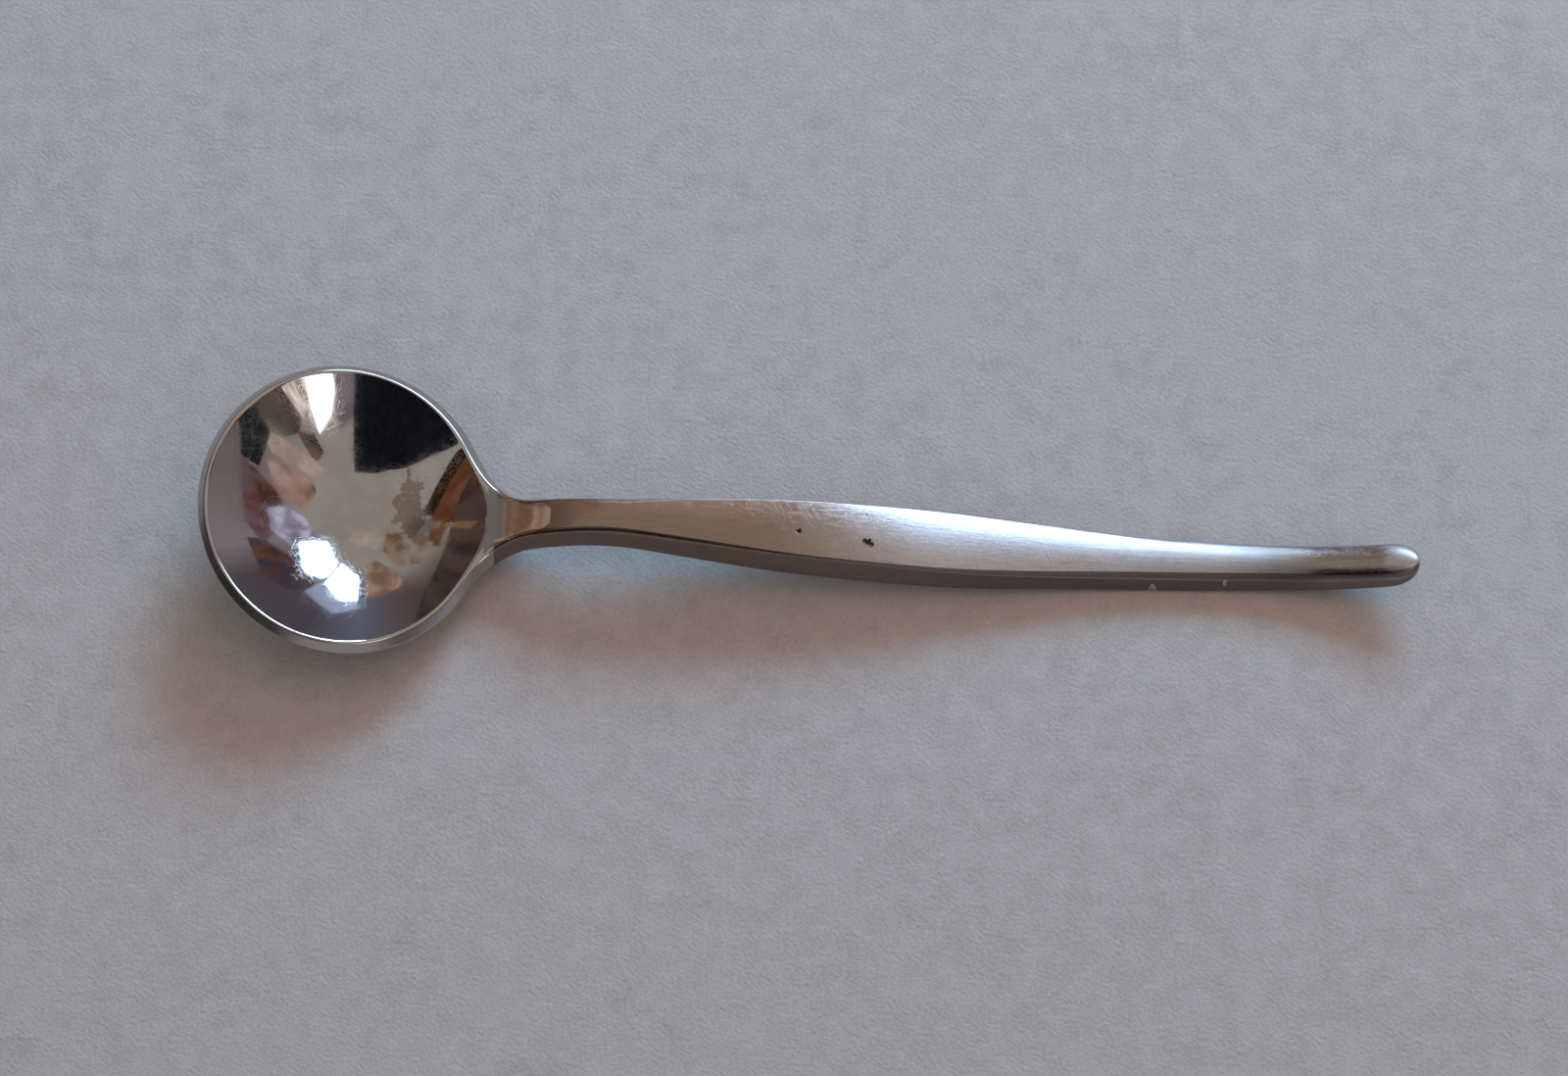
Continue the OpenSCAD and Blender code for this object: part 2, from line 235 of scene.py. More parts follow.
def edge_at(x):
    """Height of the top edge: the rim's plane, rounded into the arc of the neck, then over the handle."""
    neck = arch_h + neck_side - (arch_x - x) ** 2 / (2 * bend_r)
    return np.where(x < arch_x, soft_max(rim_at(x), neck, dip_soft), under_at(x) + side_at(x))


def handle_half(x):
    """Half width of the top face: the neck with its flare, widening to the grip and narrowing to the end."""
    neck = neck_w / 2 + neck_flare * ((arch_x - x) / (arch_x - shoulder_x)) ** 2
    wide = mix(neck_w, grip_w, follow(widen_shares, (x - arch_x) / (wide_x - arch_x))) / 2
    slim = mix(end_w, grip_w, follow(narrow_shares, (x - wide_x) / (waist_x - wide_x))) / 2
    return np.where(x < arch_x, neck, np.where(x < wide_x, wide, slim))


def out_at(x):
    """How far the foot of the side face stands out beyond the top face."""
    return side_out * follow(out_shares, along(x))


def soft_at(x):
    """Radius of the softened edges: the rim's, growing along the handle, and the largest round the tip."""
    handle = soft_r * follow(soft_shares, along(x)) * mix(1, tip_share, ease((x - x_end) / tip_run + 1))
    neck = neck_soft * ease((x - leave_x) / shoulder_run) * (1 - ease((x - arch_x) / arch_run / 2))
    return mix(rim_r, handle, ease((x - leave_x) / (arch_x - leave_x))) + neck


def crisp_at(x):
    """Share of the softness that the edge on the +Y side has, which is crisper between neck and tip."""
    crisp = mix(1, crisp_share, ease((x - arch_x) / crisp_run))
    return mix(crisp, 1, ease((x - x_end) / crisp_run + 1))


def crown_at(x):
    """Height of the top face's crown over its edges, which starts on the shoulders."""
    return crown_h * follow(crown_shares, along(x)) * ease((x - shoulder_x) / (arch_x - shoulder_x))


def top_half(x):
    """Half width of the top face: the shoulders leave the rim's ellipse along its own direction."""
    leave = math.radians(leave_deg)
    run = shoulder_x - leave_x
    shoulder = bridge((x - leave_x) / run, run, land_b * math.sin(leave), -land_b / land_a / math.tan(leave),
                      handle_half(shoulder_x), -2 * neck_flare / (arch_x - shoulder_x))
    return np.where(x < shoulder_x, shoulder, handle_half(x))


def foot_half(x):
    """Half width at the foot of the side face, which leaves the rim's outer ellipse in the same way."""
    leave = math.radians(leave_deg)
    run = foot_end_x - foot_leave_x
    shoulder = bridge((x - foot_leave_x) / run, run, outer_b * math.sin(leave),
                      -outer_b / outer_a / math.tan(leave),
                      handle_half(foot_end_x) + out_at(foot_end_x), -2 * neck_flare / (arch_x - shoulder_x))
    return np.where(x < foot_end_x, shoulder, handle_half(x) + out_at(x))


def radius_share(x, y, a, b):
    """Share of the radius at which a point lies in an ellipse of half lengths a and b."""
    return np.sqrt((x / a) ** 2 + (y / b) ** 2)


def top_z(x, y):
    """Upper surface: the hollow, cut off at the height of the edge with a broken corner, and on the handle
    a face crowned as a parabola across."""
    hollow = rim_at(x) - hollow_dish(radius_share(x, y, hollow_a, hollow_b))
    bowl = soft_min(hollow, edge_at(x), lip_soft)
    handle = edge_at(x) + crown_at(x) * (1 - (y / top_half(x)) ** 2)
    return np.where(x < shoulder_x, bowl, handle)


def under_z(x, y):
    """Lower surface: the outer dish, rounded into the flat underside of the neck and handle."""
    low = edge_at(x) - side_at(x)
    outer = rim_at(x) - rim_drop - outer_dish(radius_share(x, y, outer_a, outer_b))
    k = mix(root_soft * root_share, root_soft, ease((x - leave_x) / (shoulder_x - leave_x)))
    return np.where(x > arch_x, low, np.where(x < leave_x, np.minimum(outer, low), soft_min(outer, low, k)))


# A small round pit in the top face of the handle: its place, radius and depth
pit_at = (48.49, -0.37)
pit_r = 0.26
pit_deep = 0.16


def dented(x, y, z):
    """Lowers z by a round pit: its depth times a bell curve of the distance from its middle."""
    far = np.hypot(x - pit_at[0], y - pit_at[1]) / pit_r
    return z - pit_deep * np.exp(-far ** 4)


def lift(xy, z):
    """Points from their places on the table and their heights."""
    return np.concatenate([xy, z[..., None]], axis=-1)


# How many points lie over a softened edge, and between two of them on a side face
corner_steps = 6
face_steps = 5


def rounded(a, c, b):
    """Points from a to b on a curve that bends at the corner c: a parabola with a, c and b as controls."""
    s = np.linspace(0, 1, corner_steps)[:, None]
    a, b, c = a[..., None, :], b[..., None, :], c[..., None, :]
    return (1 - s) ** 2 * a + 2 * s * (1 - s) * c + s ** 2 * b


def edge_profile(t, b, r):
    """Points from the top face, over a softened edge at t, down the side face and over one at b. Both edges
    are rounded over a length r: along the faces beside them, and along the straight line from t to b."""
    n = (b - t) / np.linalg.norm(b - t, axis=-1, keepdims=True)
    t_in = t - n * r[..., None]
    b_in = b - n * r[..., None]
    t3 = lift(t, edge_at(t[..., 0]))
    b3 = lift(b, under_z(b[..., 0], b[..., 1]))
    a3 = lift(t_in, top_z(t_in[..., 0], t_in[..., 1]))
    e3 = lift(b_in, under_z(b_in[..., 0], b_in[..., 1]))
    step = (b3 - t3) * np.minimum(r / np.linalg.norm(b3 - t3, axis=-1), 0.5)[..., None]
    s = np.linspace(0, 1, face_steps + 2)[1:-1, None]
    face = mix((t3 + step)[..., None, :], (b3 - step)[..., None, :], s)
    return np.concatenate([rounded(a3, t3, t3 + step), face, rounded(b3 - step, b3, e3)], axis=-2)


edge_count = 2 * corner_steps + face_steps
# How far each point of a profile belongs to the side face: 0 on the faces beside it, 1 on it
side_share_of = np.concatenate([np.linspace(0, 1, corner_steps), np.ones(face_steps),
                                np.linspace(1, 0, corner_steps)])
# Shares of the half width at which every section has its points, closer together beside the pit
across_cols = 57
pit_cols = 13
pit_reach = 1.6 * pit_r
across = np.unique(np.concatenate([
    np.linspace(-1, 1, across_cols),
    (pit_at[1] + np.linspace(-1, 1, pit_cols) * pit_reach) / handle_half(pit_at[0])]).round(4))
# How many points lie round the bowl, on a shoulder and on the rim, and how many rings down it
corner_cols = 22
round_cols = 340
hollow_rings = 92
land_rings = 8
under_rings = 72
# How much closer together the rings of the hollow lie at its edge than in its middle
hollow_crowd = 0.6


def bowl_columns():
    """Columns of edge points round the bowl: across the plane where it is cut, round the shoulder on each
    side, and round the rim. Returns an array of columns by edge points by three."""
    r = soft_at(bowl_cut)
    x = np.full(len(across), bowl_cut)
    yt = (top_half(bowl_cut) - r) * across
    yb = (foot_half(bowl_cut) - r) * across
    top = np.stack([x, yt, top_z(x, yt)], -1)
    low = np.stack([x, yb, under_z(x, yb)], -1)
    cut = mix(top[:, None], low[:, None], np.linspace(0, 1, edge_count)[:, None])
    ends = np.array([-1.0, 1.0])
    t = np.stack([np.full(2, bowl_cut), ends * top_half(bowl_cut)], -1)
    b = np.stack([np.full(2, bowl_cut), ends * foot_half(bowl_cut)], -1)
    cut[[0, -1]] = edge_profile(t, b, np.full(2, r))

    share = np.arange(1, corner_cols + 1) / corner_cols
    xt = mix(bowl_cut, leave_x, share)
    xb = mix(bowl_cut, foot_leave_x, share)
    left = edge_profile(np.stack([xt, top_half(xt)], -1), np.stack([xb, foot_half(xb)], -1), soft_at(xt))
    right = left[::-1] * [1, -1, 1]

    turn = np.radians(mix(leave_deg, 360 - leave_deg, np.arange(1, round_cols) / round_cols))
    rim = edge_profile(np.stack([land_a * np.cos(turn), land_b * np.sin(turn)], -1),
                       np.stack([outer_a * np.cos(turn), outer_b * np.sin(turn)], -1),
                       np.full(len(turn), rim_r))
    return np.concatenate([cut, left, rim, right])


# The hollow ends at this share of the way to the rim's edge at the latest, and its edge is found in so
# many steps
land_share = 0.993
edge_rounds = 8


def hollow_edge(p):
    """Place where the hollow meets the land on the line from the middle to p, found in a few steps: the
    share of the radius at which the dish has risen to the height of the edge."""
    way = p / radius_share(p[:, 0], p[:, 1], hollow_a, hollow_b)[:, None]
    f = hollow_full_share
    u = np.ones(len(p))
    for _ in range(edge_rounds):
        x = way[:, 0] * u
        rise = 1 + (edge_at(x) - rim_at(x)) / hollow_depth
        u = np.sqrt((np.sqrt((1 - f) ** 2 + 4 * f * rise) - (1 - f)) / (2 * f))
    q = way * u[:, None]
    inside = np.linalg.norm(q, axis=1) < land_share * np.linalg.norm(p, axis=1)
    return np.where(inside[:, None], q, land_share * p)


def bowl_surface():
    """The whole bowl as rings of points over its columns, between a pole in the hollow and one below: the
    hollow, the land, the side face, and the underside down to the flat that the bowl rests on."""
    columns = bowl_columns()
    lip = hollow_edge(columns[:, 0, :2])
    t = np.arange(1, hollow_rings + 1)[:, None, None] / hollow_rings
    hollow = lip * (t + hollow_crowd * t * (1 - t))
    s = np.arange(1, land_rings)[:, None, None] / land_rings
    land = mix(lip, columns[:, 0, :2], s)
    top = np.concatenate([hollow, land])
    foot = columns[:, -1, :2]
    away = foot - [rest_x, 0]
    rest_edge = [rest_x, 0] + away * rest_r / np.linalg.norm(away, axis=1, keepdims=True)
    v = np.arange(1, under_rings + 1)[:, None, None] / under_rings
    under = mix(foot, rest_edge, v)
    under_height = np.maximum(under_z(under[..., 0], under[..., 1]), 0)
    under_height[-1] = 0
    rings = np.concatenate([
        lift(top, top_z(top[..., 0], top[..., 1])),
        columns.transpose(1, 0, 2),
        lift(under, under_height)])
    poles = np.array([[0, 0, float(top_z(0.0, 0.0))], [rest_x, 0, 0]])
    return rings, poles


# How far apart the rings of the shoulders, the stem and the grip lie, and how many rings close the end
shoulder_step = 0.12
stem_step = 0.15
grip_step = 0.16
end_turns = 34
# The end closes in height too once it is drawn in to less than this share of its width
close_share = 0.35


def sections(x, k=1.0):
    """Rings of points round the handle at the places x, drawn in by k: the crowned top face, the right
    side face, the underside and the left side face."""
    k = np.broadcast_to(k, x.shape)
    r = soft_at(x) * k * (1 + close_soft * (1 - k))
    crisp = r * crisp_at(x)
    w = top_half(x) * k
    f = foot_half(x) * k
    mid = (edge_at(x) + crown_at(x) + under_z(x, 0 * x)) / 2
    right = edge_profile(np.stack([x, w], -1), np.stack([x, f], -1), crisp)[:, 1:-1]
    left = edge_profile(np.stack([x, -w], -1), np.stack([x, -f], -1), r)[:, -2:0:-1]
    xs = np.repeat(x[:, None], len(across), axis=1)
    share = (across + 1) / 2
    yt = mix((r - w)[:, None], (w - crisp)[:, None], share)
    zt = dented(xs, yt, top_z(xs, yt / k[:, None]))
    yb = mix((r - f)[:, None], (f - crisp)[:, None], share[::-1])
    ring = np.concatenate([np.stack([xs, yt, zt], -1), right,
                           np.stack([xs, yb, under_z(xs, yb / k[:, None])], -1), left], axis=1)
    squeeze = mix(1, k, pinch_share) * np.sin(np.clip(k / close_share, 0, 1) * math.pi / 2)
    ring[..., 2] = mid[:, None] + (ring[..., 2] - mid[:, None]) * squeeze[:, None]
    return ring


# Rings beside the pit, and the least distance between two rings
pit_rings = 21
least_step = 0.02


def stations(x0, x1, step):
    """Places from x0 to x1 about a step apart, closer together beside the pit."""
    plain = np.linspace(x0, x1, int(round((x1 - x0) / step)) + 1)
    near = pit_at[0] + np.linspace(-2, 2, pit_rings) * pit_r
    near = near[(near > x0) & (near < x1)]
    places = np.unique(np.concatenate([plain, near]).round(4))
    places = places[np.concatenate([[True], np.diff(places) > least_step])]
    places[[0, -1]] = x0, x1
    return places


def end_rings():
    """The handle's end: the last rings shrink along a superellipse until they close in a point."""
    turn = np.linspace(0, math.pi / 2, end_turns)[1:-1]
    plain = stations(heel_x, x_end - end_round, grip_step)
    x = x_end - end_round + end_round * np.sin(turn) ** (2 / round_power)
    k = np.cos(turn) ** (2 / round_power)
    return sections(np.concatenate([plain, x]), np.concatenate([np.ones(len(plain)), k]))


def grid_faces(rings, columns):
    """Quads between rings of points that close on themselves, as rows of four numbers."""
    number = np.arange(rings * columns).reshape(rings, columns)
    beside = np.roll(number, -1, axis=1)
    return np.stack([number[1:], beside[1:], beside[:-1], number[:-1]], -1).reshape(-1, 4)


class Skin:
    """Points, faces and normals of one part of the spoon. Its caps lie on the planes between the parts:
    some of its quads, and the flat ends, which are polygons of many points."""

    def __init__(self, points, quads, quad_caps, triangles, ends, side):
        self.points = points
        self.side = side
        self.faces = quads.tolist() + triangles.tolist() + ends
        self.caps = np.concatenate([quad_caps, np.zeros(len(triangles), bool), np.ones(len(ends), bool)])
        self.normals = self.smooth_normals(quads[~quad_caps], triangles)

    def smooth_normals(self, quads, triangles):
        """Normal at each point: the sum of the area normals of the faces round it, caps left out."""
        total = np.zeros_like(self.points)
        for rows in (triangles, quads):
            a, b, c, d = (self.points[rows[:, i]] for i in (0, 1, 2, -1))
            area = np.cross(c - a, d - b)
            for i in range(rows.shape[1]):
                np.add.at(total, rows[:, i], area)
        return total / np.maximum(np.linalg.norm(total, axis=1, keepdims=True), 1e-12)


def bowl_skin():
    """The bowl: quads between its rings, and triangles to its two poles. The caps are the quads of the side
    face between the first columns, which lie on the plane where the bowl is cut."""
    rings, poles = bowl_surface()
    m, n = rings.shape[:2]
    points = np.concatenate([rings.reshape(-1, 3), poles])
    number = np.arange(m * n).reshape(m, n)
    quads = grid_faces(m, n)
    first = np.stack([number[0], np.roll(number[0], -1), np.full(n, m * n)], -1)
    last = np.stack([np.roll(number[-1], -1), number[-1], np.full(n, m * n + 1)], -1)
    top = hollow_rings + land_rings - 1
    foot = top + edge_count - 1
    last_column = len(across) - 1
    ring_of, column_of = np.divmod(quads[:, -1], n)
    caps = (column_of < last_column) & (ring_of >= top) & (ring_of < foot)
    side = np.zeros((m, n))
    side[top:foot + 1] = side_share_of[:, None]
    side = np.concatenate([side.ravel(), [0, 0]])
    skin = Skin(points, quads, caps, np.concatenate([first, last]), [], side)
    skin.seam = np.concatenate([
        number[top, :last_column + 1], number[top + 1:foot, last_column],
        number[foot, last_column::-1], number[foot - 1:top:-1, 0]])
    return skin


def bar_skin(rings, pole=None):
    """A length of the handle: quads between its rings, a flat end at the start, and at the other end a flat
    one too, or triangles to a pole."""
    m, n = rings.shape[:2]
    points = rings.reshape(-1, 3)
    number = np.arange(m * n).reshape(m, n)
    quads = grid_faces(m, n)
    ends = [number[0].tolist()]
    triangles = np.zeros((0, 3), int)
    if pole is None:
        ends.append(number[-1, ::-1].tolist())
    else:
        points = np.concatenate([points, [pole]])
        triangles = np.stack([np.roll(number[-1], -1), number[-1], np.full(n, m * n)], -1)
    flat = np.zeros(len(across))
    side = np.tile(np.concatenate([flat, side_share_of[1:-1], flat, side_share_of[-2:0:-1]]), m)
    side = np.concatenate([side, np.zeros(len(points) - len(side))])
    skin = Skin(points, quads, np.zeros(len(quads), bool), triangles, ends, side)
    skin.first = number[0]
    skin.seam = number[-1]
    return skin


def join_normals(skins):
    """Gives the points on both sides of a seam one normal, so that the finish runs on over it."""
    for before, after in zip(skins, skins[1:]):
        gap = np.abs(before.points[before.seam] - after.points[after.first]).max()
        assert gap < 1e-6, f"parts don't meet: {gap}"
        both = before.normals[before.seam] + after.normals[after.first]
        both /= np.linalg.norm(both, axis=1, keepdims=True)
        before.normals[before.seam] = both
        after.normals[after.first] = both


def mesh_piece(name, skin, node, material):
    """A piece of the spoon from its skin, in metres in the frame, standing for its node."""
    mesh = bpy.data.meshes.new(name)
    points = (skin.points - [x_mid, 0, 0]) * MM
    mesh.from_pydata(points.tolist(), [], skin.faces)
    mesh.attributes.new("side", "FLOAT", "POINT").data.foreach_set("value", skin.side.astype(np.float32))
    mesh.shade_smooth()
    corner = np.empty(len(mesh.loops), int)
    mesh.loops.foreach_get("vertex_index", corner)
    sizes = np.empty(len(mesh.polygons), int)
    mesh.polygons.foreach_get("loop_total", sizes)
    face_normals = np.empty(len(mesh.polygons) * 3)
    mesh.polygons.foreach_get("normal", face_normals)
    flat = np.repeat(face_normals.reshape(-1, 3), sizes, axis=0)
    on_cap = np.repeat(skin.caps, sizes)
    normals = np.where(on_cap[:, None], flat, skin.normals[corner])
    mesh.normals_split_custom_set(normals.tolist())
    mesh.materials.append(material)
    piece = bpy.data.objects.new(name, mesh)
    bpy.context.scene.collection.objects.link(piece)
    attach(piece, "root")
    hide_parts(node)
    return piece


class Wire:
    """A node's output. Arithmetic on it adds Math nodes, so a mask can be written as a formula."""

    def __init__(self, recipe, socket):
        self.recipe = recipe
        self.socket = socket

    def math(self, operation, *others):
        """A Math node with this output as its first value."""
        return self.recipe.math(operation, self, *others)

    def __add__(self, other):
        return self.math("ADD", other)

    def __radd__(self, other):
        return self.recipe.math("ADD", other, self)

    def __sub__(self, other):
        return self.math("SUBTRACT", other)

    def __rsub__(self, other):
        return self.recipe.math("SUBTRACT", other, self)

    def __mul__(self, other):
        return self.math("MULTIPLY", other)

    def __rmul__(self, other):
        return self.recipe.math("MULTIPLY", other, self)

    def __truediv__(self, other):
        return self.math("DIVIDE", other)

    def __pow__(self, other):
        return self.math("POWER", other)

    def __abs__(self):
        return self.math("ABSOLUTE")

    def step(self, edge, soft):
        """0 below the edge and 1 above it, with a smooth rise of width soft."""
        return self.recipe.node("ShaderNodeMapRange", {"interpolation_type": "SMOOTHSTEP"},
                                {"Value": self, "From Min": edge - soft / 2, "From Max": edge + soft / 2})

    def between(self, low, high, soft):
        """1 from low to high and 0 outside, with smooth rises of width soft."""
        return self.step(low, soft) * (1 - self.step(high, soft))


class Recipe:
    """The nodes of one material or of the world."""

    def __init__(self, owner):
        owner.use_nodes = True
        self.owner = owner
        self.tree = owner.node_tree
        self.tree.nodes.clear()

    def node(self, kind, settings=None, inputs=None, output=0):
        """Makes a node of a kind, with its settings first and then the values or links of its sockets."""
        made = self.tree.nodes.new(kind)
        for key, value in (settings or {}).items():
            if key == "stops":
                ramp = made.color_ramp
                while len(ramp.elements) < len(value):
                    ramp.elements.new(0.5)
                for element, (position, colour) in zip(ramp.elements, value):
                    element.position = position
                    element.color = colour
            else:
                setattr(made, key, value)
        for key, value in (inputs or {}).items():
            socket = made.inputs[key]
            if isinstance(value, Wire):
                self.tree.links.new(value.socket, socket)
            else:
                socket.default_value = value
        return Wire(self, made.outputs[output]) if made.outputs else None

    def math(self, operation, *values):
        """A Math node on wires and numbers."""
        return self.node("ShaderNodeMath", {"operation": operation}, dict(enumerate(values)))

    def colour_mix(self, factor, a, b, how="MIX"):
        """Colour a where the factor is 0 and b where it is 1, or b worked into a in another way."""
        return self.node("ShaderNodeMix", {"data_type": "RGBA", "blend_type": how},
                         {0: factor, 6: a, 7: b}, output=2)

    def place(self):
        """Object coordinates in millimetres, and the first two of them on their own."""
        metres = self.node("ShaderNodeTexCoord", output=3)
        spot = self.node("ShaderNodeMapping", {}, {"Vector": metres, "Scale": (1 / MM, 1 / MM, 1 / MM)})
        x, y = [self.node("ShaderNodeSeparateXYZ", {}, {0: spot}, output=i) for i in range(2)]
        return spot, x, y

    def noise(self, spot, size, stretch=(1, 1, 1), turn=0.0, detail=3.0, shift=(0, 0, 0)):
        """Cloudy noise whose blobs are about size millimetres, stretched and turned about Z."""
        turned = self.node("ShaderNodeMapping", {}, {"Vector": spot, "Rotation": (0, 0, math.radians(turn))})
        scale = tuple(1 / (size * s) for s in stretch)
        scaled = self.node("ShaderNodeMapping", {}, {"Vector": turned, "Scale": scale, "Location": shift})
        return self.node("ShaderNodeTexNoise", {"noise_dimensions": "3D"},
                         {"Vector": scaled, "Scale": 1.0, "Detail": detail, "Roughness": 0.55})

    def attribute(self, name):
        """The number that the mesh keeps under a name for each point."""
        return self.node("ShaderNodeAttribute", {"attribute_name": name}, output=2)

    def bump(self, height, micron):
        """Normals from a height of 0 to 1 that stands for so many microns."""
        return self.node("ShaderNodeBump", {}, {"Height": height, "Strength": 1.0, "Distance": micron * 1e-6})

    def metal(self, colour, roughness, normal):
        """Finishes the material as bare metal and returns it."""
        shader = self.node("ShaderNodeBsdfPrincipled", {}, {
            "Base Color": colour, "Metallic": 1.0, "Roughness": roughness, "Normal": normal})
        self.node("ShaderNodeOutputMaterial", {}, {"Surface": shader})
        return self.owner


def scratches(recipe, spot, turns, length, width, amount):
    """Hairlines in several directions: noise drawn out along each, cut off so that only its crests show."""
    total = None
    for i, turn in enumerate(turns):
        drawn = (length / width, 1, length / width)
        streak = recipe.noise(spot, width, drawn, turn, 1.0, (3.7 * i, 1.9 * i, 0))
        line = streak.step(1 - amount, 0.05)
        total = line if total is None else total.math("MAXIMUM", line)
    return total


def oval_at(x, y, at, reach):
    """Square of the distance from a place on the XY plane, in shares of a reach along x and one along y."""
    return ((x - at[0]) / reach[0]) ** 2 + ((y - at[1]) / reach[1]) ** 2


def spot_at(x, y, at, reach, soft=0.3):
    """1 inside a round spot on the XY plane and 0 outside it; reach is its radius."""
    return 1 - (oval_at(x, y, at, (reach, reach)) ** 0.5).step(1.0, soft)


# The brown stain in the bowl and the olive film round it: their places and reaches along x and y, in the
# frame in millimetres
stain_spot = (-43.5, 2.0)
stain_reach = (1.7, 3.9)
film_spot = (-45.0, 0.5)
film_reach = (7.5, 6.0)

# Tones of the polished bowl: the steel, the olive film, the stain, the bubbles in it and the rim's side,
# darker partly as painted shade
mirror_tones = ((0.63, 0.615, 0.6, 1), (0.59, 0.57, 0.56, 1))
film_tone = (0.55, 0.525, 0.47, 1)
stain_tone = (0.35, 0.265, 0.215, 1)
bubble_tone = (0.66, 0.62, 0.57, 1)
rim_side_shade_tone = (0.45, 0.42, 0.41, 1)


def bowl_polish():
    """Mirror polish with hairlines, a faint olive film, and a brown stain with tiny bubbles."""
    recipe = Recipe(bpy.data.materials.new("mirror_polished_steel"))
    spot, x, y = recipe.place()
    side = recipe.attribute("side")
    cloud = recipe.noise(spot, 4.0)
    film = recipe.noise(spot, 2.6, shift=(5, 2, 0))
    grain = recipe.noise(spot, 0.35, detail=4.0)
    hairlines = scratches(recipe, spot, (12, 57, 103, 148), 2.2, 0.045, 0.31)
    ragged = recipe.noise(spot, 1.1, detail=4.0)
    far = oval_at(x, y, stain_spot, stain_reach) ** 0.5
    stain = 1 - (far + (ragged - 0.5) * 2.4).step(0.85, 0.22)
    middle = 1 - oval_at(x, y, film_spot, film_reach).step(0.75, 0.9)
    cells = recipe.node("ShaderNodeTexVoronoi", {"feature": "F1"}, {"Vector": spot, "Scale": 2.1})
    bubble = (1 - cells.step(0.17, 0.05)) * stain
    warm = recipe.colour_mix(cloud, *mirror_tones)
    olive = recipe.colour_mix(middle * film.step(0.5, 0.25) * 0.8, warm, film_tone)
    stained = recipe.colour_mix(stain * 0.85, olive, stain_tone)
    bare = recipe.colour_mix(bubble * 0.8, stained, bubble_tone)
    # The rim's side face: rougher unpolished steel, darkened further by painted shade for the dark floor that
    # it reflects.
    colour = recipe.colour_mix(side * 0.5, bare, rim_side_shade_tone)
    roughness = 0.035 + 0.05 * cloud.step(0.55, 0.3) + 0.05 * hairlines + 0.1 * stain + 0.1 * side
    normal = recipe.bump(hairlines * 0.4 + grain * 0.25, 1.2)
    return recipe.metal(colour, roughness, normal)


# Where the finish of the handle changes, as places along the frame in millimetres: the brown neck ends, the
# matt middle starts and ends, the warm tone of the end starts and fades, and the duller tip starts
neck_end = 4
matt_start = 8
matt_end = 53
warm_start = 48
warm_fade = 61.3
tip_start = 61.5
# Depth of the brushed lines in microns
satin_deep = 2.6

# Tones of the brushed steel: clean, warmer on the near half as a painted reflection, brown at the neck and
# warm at the end, and the shade that dulls it, the painted shade of the dark line along the near edge, the
# scratches and the side faces, darker partly as painted shade
satin_tones = ((0.97, 0.95, 0.98, 1), (0.9, 0.88, 0.9, 1))
near_reflection_tone = (1.0, 0.92, 0.87, 1)
brown_tone = (0.53, 0.395, 0.315, 1)
end_tone = (0.53, 0.47, 0.44, 1)
dull_shade = (0.8, 0.78, 0.77, 1)
crease_shade_tone = (0.09, 0.07, 0.065, 1)
scratch_tone = (0.34, 0.3, 0.28, 1)
side_shade_tones = ((0.2, 0.165, 0.155, 1), (0.3, 0.255, 0.235, 1))


def satin_parts(recipe, spot, x, y):
    """Colour, roughness and height of the brushed finish: fine lines along the handle, worn smoother in
    patches, browner at the neck, with longer scratches. The near half is tinted as a painted reflection and
    the near crease has a painted dark line; the side faces are plainer and darker, partly from painted shade."""
    side = recipe.attribute("side")
    fine = recipe.noise(spot, 0.1, (50, 1, 1), detail=2.0)
    broad = recipe.noise(spot, 0.3, (36, 1, 1), 1.0, 2.0)
    cloud = recipe.noise(spot, 4.0, (2.2, 1, 1))
    mottle = recipe.noise(spot, 0.45, (1.6, 1, 1), detail=4.0)
    hairlines = scratches(recipe, spot, (3, -8, 62, 121), 2.6, 0.06, 0.33)

    brown = 1 - (x + 8 * (cloud - 0.5)).step(neck_end, 20)
    warm = x.step(warm_start, 12) * (1 - 0.7 * x.step(warm_fade, 1.4))
    clean = recipe.colour_mix(cloud, *satin_tones)
    # Painted reflection: the near half of the top face is tinted warmer.
    near = recipe.colour_mix((1 - y.step(-1.0, 1.8)) * 0.8, clean, near_reflection_tone)
    tone = recipe.colour_mix(brown, near, brown_tone)
    tip = recipe.colour_mix(warm, tone, end_tone)
    dull = recipe.colour_mix(1, tip, dull_shade, "MULTIPLY")
    streaked = recipe.colour_mix(broad.step(0.42, 0.3) * 0.3, dull, tip)
    # Painted shade: a dark line along the near crease, where the edge reflects dark surroundings.
    crease_shade = side.between(0.03, 0.62, 0.05) * (1 - y.step(0, 0.5))
    crease_shaded = recipe.colour_mix(crease_shade * 0.8, streaked, crease_shade_tone)
    worn = recipe.colour_mix(hairlines * 0.5, crease_shaded, scratch_tone)
    # Side faces: plainer steel, darkened further by painted shade for the shaded floor that they reflect.
    edge = recipe.colour_mix(mottle, *side_shade_tones)
    colour = recipe.colour_mix(side.step(0.6, 0.6), worn, edge)

    ragged = x + 2.5 * (broad - 0.5) + 1.5 * (cloud - 0.5) + 0.5 * y
    middle = x.step(matt_start, 24) * (1 - ragged.step(matt_end, 5))
    matt = middle * (0.34 - 0.2 * y.step(0.9, 2.8)) + 0.2 * ragged.step(tip_start, 3)
    lines = 0.22 * (fine - 0.4) + 0.16 * (broad - 0.5) + 0.06 * mottle
    roughness = 0.15 + matt + lines + 0.15 * side
    height = fine * (0.6 + 8 * middle) + broad * (0.9 + 5 * middle) + mottle * 0.35 - hairlines * 0.8
    return colour, roughness, height


# How far the rounded edge of the neck's polish reaches into the stem, and how much shorter it is at a
# distance from the middle
polish_lead = 0.2
polish_bow = 1.3
polish_half = 1.5
